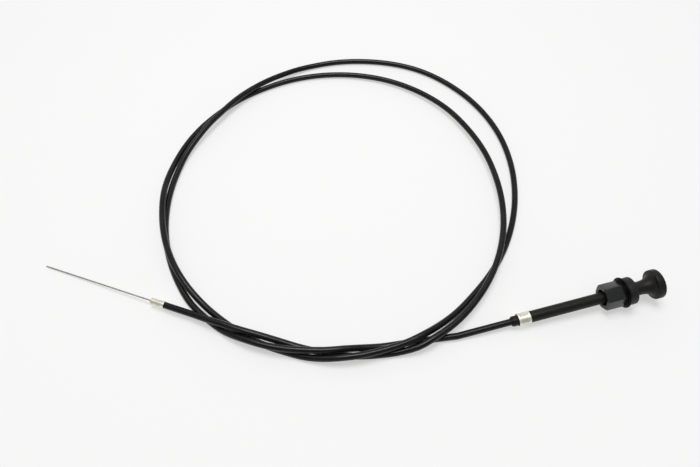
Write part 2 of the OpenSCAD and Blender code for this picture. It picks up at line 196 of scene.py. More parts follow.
SHEATH_STOP = 9
LOOP_FROM, LOOP_STEP, LOOP_POINTS = -78, 2, 393
route = [head_point(station) for station in (SHEATH_STOP, 0, -20, -36, -41)]
route += [loop_point(LOOP_FROM - LOOP_STEP * step) for step in range(LOOP_POINTS)]
route += [tail_point(distance) for distance in (-25, -20, -10, 0)]
route_length = sum((b - a).length for a, b in zip(route, route[1:]))
print("route: %d points, %.3f m, least bend radius %.0f mm" % (
    len(route), route_length,
    min((c - a).length / 2 / max(math.sin((b - a).angle(c - b)), 1e-6)
        for a, b, c in zip(route, route[1:], route[2:])) / MM))

# %% [markdown]
# ## The sheath
# A sheath is extruded: hot plastic is pressed through a ring round the moving
# armour, so it has the same round section everywhere. A curve with a round
# bevel makes exactly that. It is turned into a mesh, because the mesh carries
# a UV map that runs along and round the tube, and the fine lines that the
# extruder leaves follow it.

# %% Sheath
sheath_curve = bpy.data.curves.new("sheath", "CURVE")
sheath_curve.dimensions = "3D"
sheath_curve.bevel_depth = SHEATH_D / 2
sheath_curve.bevel_resolution = 8
sheath_curve.use_fill_caps = True
sheath_curve.twist_mode = "Z_UP"
spline = sheath_curve.splines.new("POLY")
spline.points.add(len(route) - 1)
for knot, point in zip(spline.points, route):
    knot.co = (*point, 1)
spline.use_smooth = True
sheath = bpy.data.objects.new("sheath", sheath_curve)
bpy.context.scene.collection.objects.link(sheath)
select(sheath)
bpy.ops.object.convert(target="MESH")
sheath = bpy.context.object
print("sheath:", len(sheath.data.polygons), "faces, UV maps",
      [layer.name for layer in sheath.data.uv_layers])

# %% [markdown]
# The core wire slides in and out of both ends, so each end needs its hole. The
# flat triangles that close the curve's end are joined into one face, which is
# inset to the size of the armour and then pushed in as far as the straight
# armour and liner reach.

# %% Holes in the sheath's ends
ARMOUR_D, HEAD_BORE, TAIL_BORE = 3.8 * MM, 45 * MM, 20 * MM
bpy.ops.object.mode_set(mode="EDIT")
bpy.ops.mesh.select_mode(type="FACE")
for end, inward in ((head_point(SHEATH_STOP), HEAD_DIR * -HEAD_BORE),
                    (tail_point(0), TAIL_DIR * -TAIL_BORE)):
    bpy.ops.mesh.select_all(action="DESELECT")
    bpy.ops.object.mode_set(mode="OBJECT")
    for face in sheath.data.polygons:
        face.select = ((face.center - end).length < SHEATH_D / 2
                       and face.normal.angle(inward) > math.radians(175))
    print("cap triangles:", sum(face.select for face in sheath.data.polygons))
    bpy.ops.object.mode_set(mode="EDIT")
    bpy.ops.mesh.dissolve_faces()
    bpy.ops.mesh.inset(thickness=(SHEATH_D - ARMOUR_D) / 2)
    bpy.ops.mesh.extrude_region_move(TRANSFORM_OT_translate={"value": tuple(inward)})
bpy.ops.mesh.select_mode(type="VERT")
bpy.ops.object.mode_set(mode="OBJECT")
bpy.ops.object.shade_smooth_by_angle(angle=math.radians(50))
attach(sheath, "cable")
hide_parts("sheath_run", "sheath_head_end", "sheath_tail_end")
print("sheath with its holes:", len(sheath.data.polygons), "faces")

# %% [markdown]
# ## Turning a piece
# Nearly every piece of the head is turned or moulded round, so one helper does
# the work of a lathe. A circle is the first ring. It is extruded to the next
# height of the outline and resized to the next radius, ring by ring. An outline
# that comes back to its start makes a ring with a bore, and one that ends on the
# axis closes in a pole. Rounded edges come from a second helper that draws an
# arc.


# %% Turning helpers
WELD = 0.002 * MM  # points that lie closer than this are one point


def arc(radius, height, size, start, end, steps=6):
    """Points of a rounded edge, round its centre, from one angle to another."""
    return [(radius + size * math.cos(math.radians(start + (end - start) * i / steps)),
             height + size * math.sin(math.radians(start + (end - start) * i / steps)))
            for i in range(steps + 1)]


def turn(name, outline, sides=96):
    """Turns a closed mesh from an outline of radii and heights in millimetres."""
    bpy.ops.object.select_all(action="DESELECT")
    radius, height = outline[0]
    bpy.ops.mesh.primitive_circle_add(vertices=sides, radius=radius * MM,
                                      location=(0, 0, height * MM))
    piece = bpy.context.object
    piece.name = piece.data.name = name
    bpy.ops.object.transform_apply(location=True, rotation=False, scale=False)
    bpy.ops.object.mode_set(mode="EDIT")
    bpy.ops.mesh.select_all(action="SELECT")
    for next_radius, next_height in outline[1:]:
        bpy.ops.mesh.extrude_region_move(
            TRANSFORM_OT_translate={"value": (0, 0, (next_height - height) * MM)})
        if next_radius != radius:
            grow = next_radius / radius
            bpy.ops.transform.resize(value=(grow, grow, 1),
                                     center_override=(0, 0, next_height * MM))
        radius, height = next_radius, next_height
    bpy.ops.mesh.select_all(action="SELECT")
    bpy.ops.mesh.remove_doubles(threshold=WELD)
    bpy.ops.mesh.fill_holes(sides=0)
    bpy.ops.mesh.select_all(action="SELECT")
    bpy.ops.mesh.normals_make_consistent(inside=False)
    bpy.ops.object.mode_set(mode="OBJECT")
    return piece


def finish_piece(piece, body, slot, *replaced, angle=32):
    """Smooths a piece, and says what carries it and what it stands for."""
    select(piece)
    bpy.ops.object.shade_smooth_by_angle(angle=math.radians(angle))
    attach(piece, body)
    if replaced:
        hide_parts(*replaced)
    print("%s: %d faces" % (piece.name, len(piece.data.polygons)))


# %% [markdown]
# ## The pull knob
# The knob is moulded: a straight neck opens like a trumpet into a thick disc
# with a rounded rim, so that two fingers hook behind it. Its outline is a row of
# curves: the neck's edge, the flare, the two edges of the rim and a shallow
# crown. The rod sits in a deep socket in the neck.

# %% Knob
KNOB_AT, KNOB_R, NECK_R, SOCKET_R, SOCKET = 94.3, 11.0, 5.1, 2.5, 12
NECK_LEN, FLARE_LEN, RIM, RIM_ROUND, CROWN = 5.5, 9.5, 5.8, 1.2, 1.2
FLARE_STEPS, CROWN_STEPS, NECK_EDGE, SOCKET_EDGE = 28, 12, 0.4, 0.3
flare_out = KNOB_R - RIM_ROUND - NECK_R
rim_low = NECK_LEN + FLARE_LEN + RIM_ROUND
rim_high = NECK_LEN + FLARE_LEN + RIM - RIM_ROUND
knob_outline = [(SOCKET_R, SOCKET), (SOCKET_R, SOCKET_EDGE),
                (SOCKET_R + SOCKET_EDGE, 0)]
knob_outline += arc(NECK_R - NECK_EDGE, NECK_EDGE, NECK_EDGE, -90, 0)
knob_outline += [(NECK_R, 1.8), (NECK_R, 3.6)]
knob_outline += [(NECK_R + flare_out * (1 - math.cos(math.radians(90 * i / FLARE_STEPS))),
                  NECK_LEN + FLARE_LEN * math.sin(math.radians(90 * i / FLARE_STEPS)))
                 for i in range(FLARE_STEPS)]
knob_outline += arc(KNOB_R - RIM_ROUND, rim_low, RIM_ROUND, -90, 0, 12)
knob_outline += arc(KNOB_R - RIM_ROUND, rim_high, RIM_ROUND, 0, 90, 12)
knob_outline += [((KNOB_R - RIM_ROUND) * (1 - i / CROWN_STEPS),
                  rim_high + RIM_ROUND + CROWN * (1 - (1 - i / CROWN_STEPS)**2))
                 for i in range(1, CROWN_STEPS + 1)]
knob = turn("pull_knob", knob_outline, sides=128)
lay(knob, head_point(KNOB_AT), HEAD_TURN)
finish_piece(knob, "plunger", "knob", "knob")

# %% [markdown]
# ## The rod
# The rod is drawn steel, pressed into the knob, and it shows when the knob is
# pulled out. Its edges are broken by a small chamfer, and its hidden end has the
# hole that holds the core wire.

# %% Rod
ROD_AT, ROD_LEN, ROD_R, ROD_EDGE = 52.7, 53.6, 2.5, 0.3
WIRE_R, WIRE_HOLE, HOLE_EDGE = 0.6, 10, 0.2
rod_outline = [(WIRE_R, WIRE_HOLE), (WIRE_R, HOLE_EDGE), (WIRE_R + HOLE_EDGE, 0),
               (ROD_R - ROD_EDGE, 0), (ROD_R, ROD_EDGE), (ROD_R, ROD_LEN - ROD_EDGE),
               (ROD_R - ROD_EDGE, ROD_LEN), (0, ROD_LEN)]
rod = turn("sliding_rod", rod_outline, sides=64)
lay(rod, head_point(ROD_AT), HEAD_TURN)
finish_piece(rod, "plunger", "rod", "pull_rod")

# %% [markdown]
# ## The bushing
# The bushing holds the whole head in a panel. Its flange stays in front, its
# threaded shank goes through the hole, the guide tube is pressed into a socket
# from behind, and the rod slides in the bore. Its outline is one closed loop
# that goes round all of these, with the shank drawn at the root of its thread.

# %% Bushing
BUSHING_AT, SHANK_LEN, FLANGE_W, FLANGE_R, EDGE = 74.0, 13.5, 6.5, 10.25, 0.8
THREAD_R, ROOT_R, PITCH = 6.0, 5.1, 1.5
BORE_R, SOCKET_DEPTH, TUBE_R = 2.6, 12.0, 4.25
SHANK_EDGE, THREAD_END, ROD_MOUTH = 0.1, 1.0, 0.5
front = SHANK_LEN + FLANGE_W
bushing_outline = [(BORE_R, SOCKET_DEPTH), (TUBE_R, SOCKET_DEPTH), (TUBE_R, 0.25),
                   (TUBE_R + 0.2, 0)]
bushing_outline += [(ROOT_R - SHANK_EDGE, 0), (ROOT_R, SHANK_EDGE),
                    (ROOT_R, SHANK_LEN - THREAD_END),
                    (THREAD_R - SHANK_EDGE, SHANK_LEN - 0.4),
                    (THREAD_R - SHANK_EDGE, SHANK_LEN)]
bushing_outline += arc(FLANGE_R - EDGE, SHANK_LEN + EDGE, EDGE, -90, 0)
bushing_outline += arc(FLANGE_R - EDGE, front - EDGE, EDGE, 0, 90)
bushing_outline += [(BORE_R + ROD_MOUTH, front), (BORE_R, front - ROD_MOUTH),
                    (BORE_R, SOCKET_DEPTH)]
bushing = turn("panel_bushing", bushing_outline, sides=128)
lay(bushing, head_point(BUSHING_AT), HEAD_TURN)
finish_piece(bushing, "cable", "bushing", "bushing")

# %% [markdown]
# ## The thread
# A thread is a ridge that climbs by one pitch in each turn. The Screw modifier
# sweeps any outline round an axis while it climbs, so the ridge's section is
# drawn once: a plane is added, its corners are moved to a trapezium, and the
# sweep makes a ridge whose root is sunk in the shank. Its two ends are filled.

# %% Thread of the shank
bpy.ops.object.select_all(action="DESELECT")
bpy.ops.mesh.primitive_plane_add(size=1 * MM)
thread = bpy.context.object
thread.name = thread.data.name = "bushing_thread"
SUNK, FOOT, CREST, THREAD_TURNS, THREAD_START = 0.15, 0.72, 0.12, 7, 0.9
ridge = [(ROOT_R - SUNK, -FOOT), (THREAD_R, -CREST), (THREAD_R, CREST),
         (ROOT_R - SUNK, FOOT)]
for corner, (radius, height) in zip((0, 1, 3, 2), ridge):
    thread.data.vertices[corner].co = (radius * MM, 0, height * MM)
bpy.ops.object.mode_set(mode="EDIT")
bpy.ops.mesh.select_all(action="SELECT")
bpy.ops.mesh.delete(type="ONLY_FACE")
bpy.ops.object.mode_set(mode="OBJECT")
climb = thread.modifiers.new("climb", "SCREW")
climb.angle, climb.screw_offset = 2 * math.pi, PITCH * MM
climb.iterations = THREAD_TURNS
climb.steps = climb.render_steps = 48
climb.use_normal_calculate = True
select(thread)
bpy.ops.object.modifier_apply(modifier=climb.name)
bpy.ops.object.mode_set(mode="EDIT")
bpy.ops.mesh.select_all(action="SELECT")
bpy.ops.mesh.remove_doubles(threshold=WELD)
bpy.ops.mesh.fill_holes(sides=0)
bpy.ops.mesh.select_all(action="SELECT")
bpy.ops.mesh.normals_make_consistent(inside=False)
bpy.ops.object.mode_set(mode="OBJECT")
lay(thread, head_point(BUSHING_AT + THREAD_START), HEAD_TURN)
finish_piece(thread, "cable", "bushing", angle=40)

# %% [markdown]
# ## Rubber washer and plain washer
# The rubber washer seals the panel hole and is squeezed between flange and
# panel. It is moulded with fat round edges, which catch the light. The plain
# washer behind it is stamped from sheet: one edge is rolled in by the punch and
# the other is sharper.

# %% Washers
SEAL_AT, SEAL_R, SEAL_W, SEAL_ROUND, SEAL_EDGE = 85.2, 11.5, 2.3, 1.1, 0.2
seal_outline = [(THREAD_R, SEAL_EDGE), (THREAD_R + SEAL_EDGE, 0)]
seal_outline += arc(SEAL_R - SEAL_ROUND, SEAL_ROUND, SEAL_ROUND, -90, 0, 10)
seal_outline += arc(SEAL_R - SEAL_ROUND, SEAL_W - SEAL_ROUND, SEAL_ROUND, 0, 90, 10)
seal_outline += [(THREAD_R + SEAL_EDGE, SEAL_W), (THREAD_R, SEAL_W - SEAL_EDGE),
                 (THREAD_R, SEAL_EDGE)]
seal = turn("rubber_washer", seal_outline, sides=128)
lay(seal, head_point(SEAL_AT), HEAD_TURN)
finish_piece(seal, "cable", "rubber", "sealing_washer")

WASHER_AT, WASHER_R, WASHER_W, WASHER_BORE = 84.5, 9.75, 0.6, 6.2
ROLLED, BURR, BORE_EDGE = 0.25, 0.08, 0.1
washer_outline = [(WASHER_BORE, BORE_EDGE), (WASHER_BORE + BORE_EDGE, 0)]
washer_outline += arc(WASHER_R - ROLLED, ROLLED, ROLLED, -90, 0)
washer_outline += [(WASHER_R, WASHER_W - BURR), (WASHER_R - BURR, WASHER_W),
                   (WASHER_BORE + ROLLED, WASHER_W), (WASHER_BORE, WASHER_W - ROLLED),
                   (WASHER_BORE, BORE_EDGE)]
washer = turn("plain_washer_ring", washer_outline, sides=128)
lay(washer, head_point(WASHER_AT), HEAD_TURN)
finish_piece(washer, "washer", "washer", "plain_washer")

# %% [markdown]
# ## The long nut
# A nut is cut from hexagon bar and its ends are turned, which leaves the curved
# lines where each flat meets the bevel. The same two steps give them here: a
# six-sided cylinder is the bar, a turned blank is the lathe's cut, and the
# Boolean modifier keeps what both share. Points that lie almost on each other
# are joined, and a Bevel modifier then breaks the edges.

# %% Nut
NUT_AT, NUT_LEN, NUT_FLATS, NUT_BORE, NUT_ROLL = 70.7, 13.7, 17.0, 6.1, -10
NUT_BEVEL, BORE_BEVEL, PAST, NUT_WELD, NUT_EDGE = 1.0, 0.5, 0.05, 0.04, 0.22
corner_r = NUT_FLATS / 2 / math.cos(math.radians(30))
slope = NUT_BEVEL * math.tan(math.radians(30))
# The blank is a little wider than the bar, so that the bar's corners stay whole.
blank_low = slope + 0.03
nut_outline = [(NUT_BORE, BORE_BEVEL), (NUT_BORE + BORE_BEVEL, 0),
               (corner_r - NUT_BEVEL, 0), (corner_r + PAST, blank_low),
               (corner_r + PAST, NUT_LEN - blank_low), (corner_r - NUT_BEVEL, NUT_LEN),
               (NUT_BORE + BORE_BEVEL, NUT_LEN), (NUT_BORE, NUT_LEN - BORE_BEVEL),
               (NUT_BORE, BORE_BEVEL)]
nut = turn("long_nut", nut_outline, sides=120)
bpy.ops.object.select_all(action="DESELECT")
bpy.ops.mesh.primitive_cylinder_add(vertices=6, radius=corner_r * MM,
                                    depth=(NUT_LEN + 2) * MM,
                                    location=(0, 0, NUT_LEN / 2 * MM),
                                    rotation=(0, 0, math.radians(30)))
bar = bpy.context.object
bpy.ops.object.transform_apply(location=True, rotation=True, scale=True)
shared = nut.modifiers.new("hexagon", "BOOLEAN")
shared.operation, shared.solver, shared.object = "INTERSECT", "EXACT", bar
select(nut)
bpy.ops.object.modifier_apply(modifier=shared.name)
bpy.data.objects.remove(bar)
bpy.ops.object.mode_set(mode="EDIT")
bpy.ops.mesh.select_all(action="SELECT")
bpy.ops.mesh.remove_doubles(threshold=NUT_WELD * MM)
bpy.ops.object.mode_set(mode="OBJECT")
broken = nut.modifiers.new("edges", "BEVEL")
broken.width, broken.segments = NUT_EDGE * MM, 3
broken.limit_method, broken.angle_limit = "ANGLE", math.radians(40)
bpy.ops.object.modifier_apply(modifier=broken.name)
lay(nut, head_point(NUT_AT), HEAD_TURN, roll=NUT_ROLL)
finish_piece(nut, "nut", "nut", "mounting_nut", angle=25)

# %% [markdown]
# ## The guide tube
# The guide tube joins the bushing to the cable and keeps the rod straight. It is
# a length of extruded tube, cut off square, so only its cut edges are softened.

# %% Guide tube
TUBE_AT, TUBE_LEN, TUBE_BORE, TUBE_EDGE = 9.5, 76.5, 3.25, 0.2
tube_outline = [(TUBE_BORE, BORE_EDGE), (TUBE_BORE + BORE_EDGE, 0)]
tube_outline += arc(TUBE_R - TUBE_EDGE, TUBE_EDGE, TUBE_EDGE, -90, 0, 4)
tube_outline += [(TUBE_R, height) for height in range(4, 76, 8)]
tube_outline += arc(TUBE_R - TUBE_EDGE, TUBE_LEN - TUBE_EDGE, TUBE_EDGE, 0, 90, 4)
tube_outline += [(TUBE_BORE + BORE_EDGE, TUBE_LEN), (TUBE_BORE, TUBE_LEN - BORE_EDGE),
                 (TUBE_BORE, BORE_EDGE)]
guide = turn("guide_tube_long", tube_outline, sides=96)
lay(guide, head_point(TUBE_AT), HEAD_TURN)
finish_piece(guide, "cable", "tube", "guide_tube")

# %% [markdown]
# ## Pressed ferrules
# A ferrule is a short metal tube that is pressed round its pieces by six dies.
# The dies leave six soft flats, and the tube stays round in a narrow lip beside
# them. No turning gives that, so the piece is turned first, with many rings, and
# its points are then pressed in by a sum: towards the hexagon in the middle,
# and less and less towards the lips.


# %% Pressing helper
def press(piece, flats, low, high, fade, outer, corner=0.25):
    """Presses six flats into the outside of an upright turned piece."""
    for point in piece.data.vertices:
        x, y, z = (value / MM for value in point.co)
        radius = math.hypot(x, y)
        if radius < outer:
            continue
        off_flat = (math.degrees(math.atan2(y, x)) + 30) % 60 - 30
        flat_r = flats / 2 / math.cos(math.radians(off_flat))
        # A soft least of the two, so that the flat runs gently into the corner.
        mix = min(max(0.5 + 0.5 * (radius - flat_r) / corner, 0), 1)
        pressed = radius + (flat_r - radius) * mix - corner * mix * (1 - mix)
        share = ease((z - low) / fade) * ease((high - z) / fade)
        scale = (radius + (pressed - radius) * share) / radius
        point.co = (x * scale * MM, y * scale * MM, z * MM)


# %% Crimp ferrule on the guide tube
CRIMP_AT, CRIMP_LEN, CRIMP_R, CRIMP_FLATS, CRIMP_ROLL = 5.0, 9.0, 4.85, 9.2, -16
CRIMP_EDGE, CRIMP_LIP, RING_STEP = 0.25, 0.9, 0.2
crimp_outline = [(TUBE_R, BORE_EDGE), (TUBE_R + BORE_EDGE, 0)]
crimp_outline += arc(CRIMP_R - CRIMP_EDGE, CRIMP_EDGE, CRIMP_EDGE, -90, 0, 4)
crimp_outline += [(CRIMP_R, 0.6 + RING_STEP * i) for i in range(40)]
crimp_outline += arc(CRIMP_R - CRIMP_EDGE, CRIMP_LEN - CRIMP_EDGE, CRIMP_EDGE, 0, 90, 4)
crimp_outline += [(TUBE_R + BORE_EDGE, CRIMP_LEN), (TUBE_R, CRIMP_LEN - BORE_EDGE),
                  (TUBE_R, BORE_EDGE)]
crimp = turn("crimp_ferrule_zinc", crimp_outline, sides=144)
press(crimp, CRIMP_FLATS, low=CRIMP_LIP, high=CRIMP_LEN - CRIMP_LIP, fade=0.7, outer=4.5)
lay(crimp, head_point(CRIMP_AT), HEAD_TURN, roll=CRIMP_ROLL)
finish_piece(crimp, "cable", "zinc", "crimp_ferrule", angle=40)

# %% Strain sleeve
SLEEVE_END_R, SLEEVE_R, SLEEVE_LEN, SLEEVE_STEP = 3.35, 3.8, 5.0, 4.2
SHEATH_R, LINER_R = 2.5, 1.2
END_ROUND, STEP_ROUND, STEP_ROOT, MOUTH = 0.35, 0.3, 0.1, 0.15
step_at = SLEEVE_LEN - SLEEVE_STEP
sleeve_outline = [(SHEATH_R, MOUTH), (SHEATH_R + MOUTH, 0)]
sleeve_outline += arc(SLEEVE_END_R - END_ROUND, END_ROUND, END_ROUND, -90, 0, 5)
sleeve_outline += [(SLEEVE_END_R, step_at - STEP_ROOT),
                   (SLEEVE_END_R + STEP_ROOT, step_at)]
sleeve_outline += arc(SLEEVE_R - STEP_ROUND, step_at + STEP_ROUND, STEP_ROUND, -90, 0, 5)
sleeve_outline += [(SLEEVE_R, SLEEVE_LEN), (TUBE_R, SLEEVE_LEN),
                   (TUBE_R, TUBE_AT - BORE_EDGE), (TUBE_R - BORE_EDGE, TUBE_AT),
                   (LINER_R, TUBE_AT), (LINER_R, SHEATH_STOP),
                   (SHEATH_R, SHEATH_STOP), (SHEATH_R, MOUTH)]
sleeve = turn("strain_sleeve_stepped", sleeve_outline, sides=96)
lay(sleeve, head_point(0), HEAD_TURN)
finish_piece(sleeve, "cable", "sleeve", "strain_sleeve")

# %% End ferrule
FERRULE_R, FERRULE_LEN, NOSE, MOUTH_R, FERRULE_ROLL = 2.8, 11.5, 1.1, 1.4, 18
ARMOUR_R, GRIP, FERRULE_FLATS, LIP_ROUND, PRESSED_IN = 1.9, 8.5, 4.9, 0.2, 0.2
ferrule_outline = [(ARMOUR_R, BORE_EDGE), (ARMOUR_R + BORE_EDGE, 0)]
ferrule_outline += arc(FERRULE_R - LIP_ROUND, LIP_ROUND, LIP_ROUND, -90, 0, 4)
ferrule_outline += [(FERRULE_R, 0.5 + RING_STEP * i) for i in range(5)]
ferrule_outline += [(FERRULE_R - PRESSED_IN, 1.5 + RING_STEP * i) for i in range(48)]
ferrule_outline += arc(FERRULE_R - NOSE, FERRULE_LEN - NOSE, NOSE, 35, 80, 6)
ferrule_outline += [(MOUTH_R + BORE_EDGE, FERRULE_LEN),
                    (MOUTH_R, FERRULE_LEN - BORE_EDGE), (MOUTH_R, GRIP),
                    (ARMOUR_R, GRIP), (ARMOUR_R, BORE_EDGE)]
ferrule = turn("end_ferrule_zinc", ferrule_outline, sides=144)
# These flats run out over the nose, so they have no lip at the far end.
press(ferrule, FERRULE_FLATS, low=1.3, high=FERRULE_LEN + 1.0, fade=0.5, outer=2.3,
      corner=0.1)
lay(ferrule, tail_point(0), TAIL_TURN, roll=FERRULE_ROLL)
finish_piece(ferrule, "cable", "zinc", "tail_ferrule", angle=40)

# %% [markdown]
# ## The bare wire
# The core is one solid drawn wire. Its end is cut with pliers and touched on a
# stone, which leaves a small rounded tip.

# %% Bare wire
BARE_WIRE, WIRE_HOLD, TIP = 94.5, 3.0, 0.35
WIRE_FROM, WIRE_LEN = FERRULE_LEN - WIRE_HOLD, BARE_WIRE + WIRE_HOLD
wire_outline = [(WIRE_R - 0.15, 0), (WIRE_R, 0.15)]
wire_outline += [(WIRE_R, height) for height in range(2, 96, 6)]
wire_outline += arc(WIRE_R - TIP, WIRE_LEN - TIP, TIP, 0, 90, 5) + [(0, WIRE_LEN)]
wire = turn("bare_wire", wire_outline, sides=32)
lay(wire, tail_point(WIRE_FROM), TAIL_TURN)
finish_piece(wire, "wire", "wire", "core_wire_tail")

# %% [markdown]
# ## Shader sums
# A finish is a graph of small sums. Written as Python they read like sums: one
# small class wraps a socket, and adding, taking away or multiplying two of them
# adds the Math node. Every other node comes from one method of the graph.


# %% Finish helpers
class Wave:
    """A number that varies over a surface."""

    def __init__(self, graph, socket):
        self.graph, self.socket = graph, socket

    def sum(self, operation, first, second):
        return self.graph.node("Math", {"operation": operation}, {0: first, 1: second})

    def __add__(self, other):
        return self.sum("ADD", self, other)

    def __radd__(self, other):
        return self.sum("ADD", other, self)

    def __sub__(self, other):
        return self.sum("SUBTRACT", self, other)

    def __rsub__(self, other):
        return self.sum("SUBTRACT", other, self)

    def __mul__(self, other):
        return self.sum("MULTIPLY", self, other)

    def __rmul__(self, other):
        return self.sum("MULTIPLY", other, self)


class Graph:
    """The nodes of one material or of the world."""

    def __init__(self, holder):
        holder.use_nodes = True
        self.tree = holder.node_tree

    def feed(self, socket, value):
        if isinstance(value, Wave):
            self.tree.links.new(value.socket, socket)
        else:
            socket.default_value = value

    def node(self, kind, settings=None, sockets=None, out=0):
        made = self.tree.nodes.new("ShaderNode" + kind)
        for name, value in (settings or {}).items():
            setattr(made, name, value)
        for name, value in (sockets or {}).items():
            self.feed(made.inputs[name], value)
        return Wave(self, made.outputs[out])

    def band(self, value, low, high, to_low=0.0, to_high=1.0):
        """Stretches a value between two limits to two others, smoothly."""
        return self.node("MapRange", {"interpolation_type": "SMOOTHSTEP"},
                         {"Value": value, "From Min": low, "From Max": high,
                          "To Min": to_low, "To Max": to_high}, out="Result")

    def blend(self, mask, first, second):
        """Mixes two colours by a mask."""
        return self.node("Mix", {"data_type": "RGBA"}, {0: mask, 6: first, 7: second},
                         out=2)


class Finish(Graph):
    """A material whose colour, roughness and relief vary over the surface."""

    def __init__(self, name, **fixed):
        self.material = bpy.data.materials.new(name)
        super().__init__(self.material)
        self.shader = self.tree.nodes["Principled BSDF"]
        for socket, value in fixed.items():
            self.feed(self.shader.inputs[socket.replace("_", " ")], value)

    def noise(self, size, detail=2.0, along=None, longer=16.0):
        """Noise of a grain size in metres, drawn out along a turned axis."""
        scale = (size, size, size) if along is None else (size, size, size * longer)
        spot = self.node("Mapping", {"vector_type": "TEXTURE"},
                         {"Vector": self.node("TexCoord", out="Object"),
                          "Rotation": along or (0, 0, 0), "Scale": scale}, out="Vector")
        return self.node("TexNoise", None,
                         {"Vector": spot, "Scale": 1.0, "Detail": detail,
                          "Roughness": 0.55}, out="Fac")

    def surface(self, colour, rough, relief, depth):
        normal = self.node("Bump", None, {"Height": relief, "Distance": depth},
                           out="Normal")
        for socket, value in (("Base Color", colour), ("Roughness", rough),
                              ("Normal", normal)):
            self.feed(self.shader.inputs[socket], value)
        return self.material


def paint(piece, material):
    piece.data.materials.clear()
    piece.data.materials.append(material)


def shade(colour, factor):
    return tuple(min(c * factor, 1.0) for c in colour) + (1.0,)


# %% [markdown]
# ## Black plastic and rubber
# Black is never one black. Moulded plastic has a fine grain, faint cloudy
# patches where hands have been, and scuffs that run the way it is handled, and
# each changes the sheen more than the colour. One helper makes them all, with
# the colour, roughness, gloss and grain of each piece: oiled rubber hardly
# shines, and the blackened nut shines most.


# %% Plastic and rubber
def black(name, colour, sheen, gloss=0.2, grain=0.3, depth=0.012, cloud=0.3,
          along=None):
    """Black: colour, roughness, strength of the gloss, and grain size and depth in mm."""
    made = Finish(name, Specular_IOR_Level=gloss)
    patches = made.band(made.noise(5 * MM, 3.0), 0.35, 0.65)
    scuffs = made.band(made.noise(0.9 * MM, 4.0, along), 0.55, 0.72)
    tone = made.blend(patches, shade(colour, 1 - cloud / 2), shade(colour, 1 + cloud))
    rough = sheen - patches * 0.05 + scuffs * 0.09
    relief = made.noise(grain * MM, 2.0) + made.noise(1.2 * MM, 1.0, along) * 0.6
    return made.surface(tone, rough, relief, depth * MM)


HEAD_WAY, TAIL_WAY = tuple(HEAD_TURN), tuple(TAIL_TURN)
knob_plastic = black("knob_plastic", (0.0105, 0.010, 0.0075), 0.46)
bushing_plastic = black("bushing_plastic", (0.016, 0.0145, 0.0175), 0.52)
tube_plastic = black("tube_plastic", (0.009, 0.0087, 0.0065), 0.46, along=HEAD_WAY)
sleeve_rubber = black("sleeve_rubber", (0.008, 0.008, 0.0072), 0.44)
washer_rubber = black("washer_rubber", (0.002, 0.002, 0.0025), 0.35, gloss=0.06,
                      grain=0.6, depth=0.004)
nut_black = black("nut_black", (0.012, 0.0125, 0.0125), 0.30, gloss=0.42, grain=0.35,
                  depth=0.01)
ring_rubber = black("ring_rubber", (0.008, 0.008, 0.008), 0.4)
washer_black = black("washer_black", (0.006, 0.006, 0.0065), 0.42, gloss=0.1)
print("black finishes made")

# %% [markdown]
# ## The sheath's skin
# Extruded plastic is smooth along its length and carries very fine lines from
# the die. The UV map of the tube runs along one side and round the other, so
# noise that is drawn out along the tube follows every bend. A little waviness
# keeps the highlight alive.

# %% Sheath skin
skin = Finish("sheath_skin", Specular_IOR_Level=0.3)
around = skin.node("Mapping", {"vector_type": "POINT"},
                   {"Vector": skin.node("UVMap", out="UV"), "Scale": (900, 14, 1)},
                   out="Vector")
die_lines = skin.node("TexNoise", None, {"Vector": around, "Scale": 1.0, "Detail": 2.0},
                      out="Fac")
handled = skin.band(skin.noise(9 * MM, 3.0), 0.4, 0.66)
skin_tone = skin.blend(handled, (0.0030, 0.0030, 0.0029, 1), (0.0055, 0.0055, 0.0053, 1))
skin_rough = 0.24 + handled * 0.06 + die_lines * 0.06
skin_relief = skin.noise(0.35 * MM, 2.0) * 0.6 + die_lines
sheath_skin = skin.surface(skin_tone, skin_rough, skin_relief, 0.010 * MM)

# %% [markdown]
# ## Metals
# The ferrules are zinc plated: a pale metal with a faint yellow cast that clouds
# to grey where it was handled. On the crimp ferrule the six pressed flats are
# painted darker and the ridges between them and the lips are left bright: partly
# the duller metal that the dies leave, and partly painted shade on the flats and a
# painted highlight on the ridges and lips, in place of the reflections they show.
# A point's distance from the line of the piece tells flat from ridge. The wire and
# the rod are drawn through a die, which leaves fine scores along them. All are
# full metals, and their roughness varies with the clouds and scores.


# %% Metals
def metal(name, bright_and_highlight, dull_and_shaded, sheen, along, grain=0.25, line=None, flat=0, ridge=1):
    """Metal whose pressed flats, between two radii in mm round a line, are duller and
    painted darker as painted shade, with the ridges left bright as a painted highlight.
    """
    made = Finish(name, Metallic=1.0)
    cloud = made.band(made.noise(2.2 * MM, 4.0), 0.35, 0.68)
    if line is not None:
        spot = made.node("Mapping", {"vector_type": "TEXTURE"},
                         {"Vector": made.node("TexCoord", out="Object"),
                          "Location": tuple(line), "Rotation": along}, out="Vector")
        across = made.node("VectorMath", {"operation": "MULTIPLY"},
                           {0: spot, 1: (1, 1, 0)}, out="Vector")
        radius = made.node("VectorMath", {"operation": "LENGTH"}, {0: across},
                           out="Value")
        # The flats take the dull colour, partly duller pressed metal and partly painted
        # shade; ridges and lips keep the bright colour as a painted highlight.
        pressed = 1 - made.band(radius, flat * MM, ridge * MM)
        cloud = cloud * 0.35 + pressed * 0.65
    scores = made.noise(grain * MM, 3.0, along)
    tone = made.blend(cloud, bright_and_highlight + (1,), dull_and_shaded + (1,))
    rough = sheen + cloud * 0.12 + scores * 0.08
    return made.surface(tone, rough, scores, 0.005 * MM)
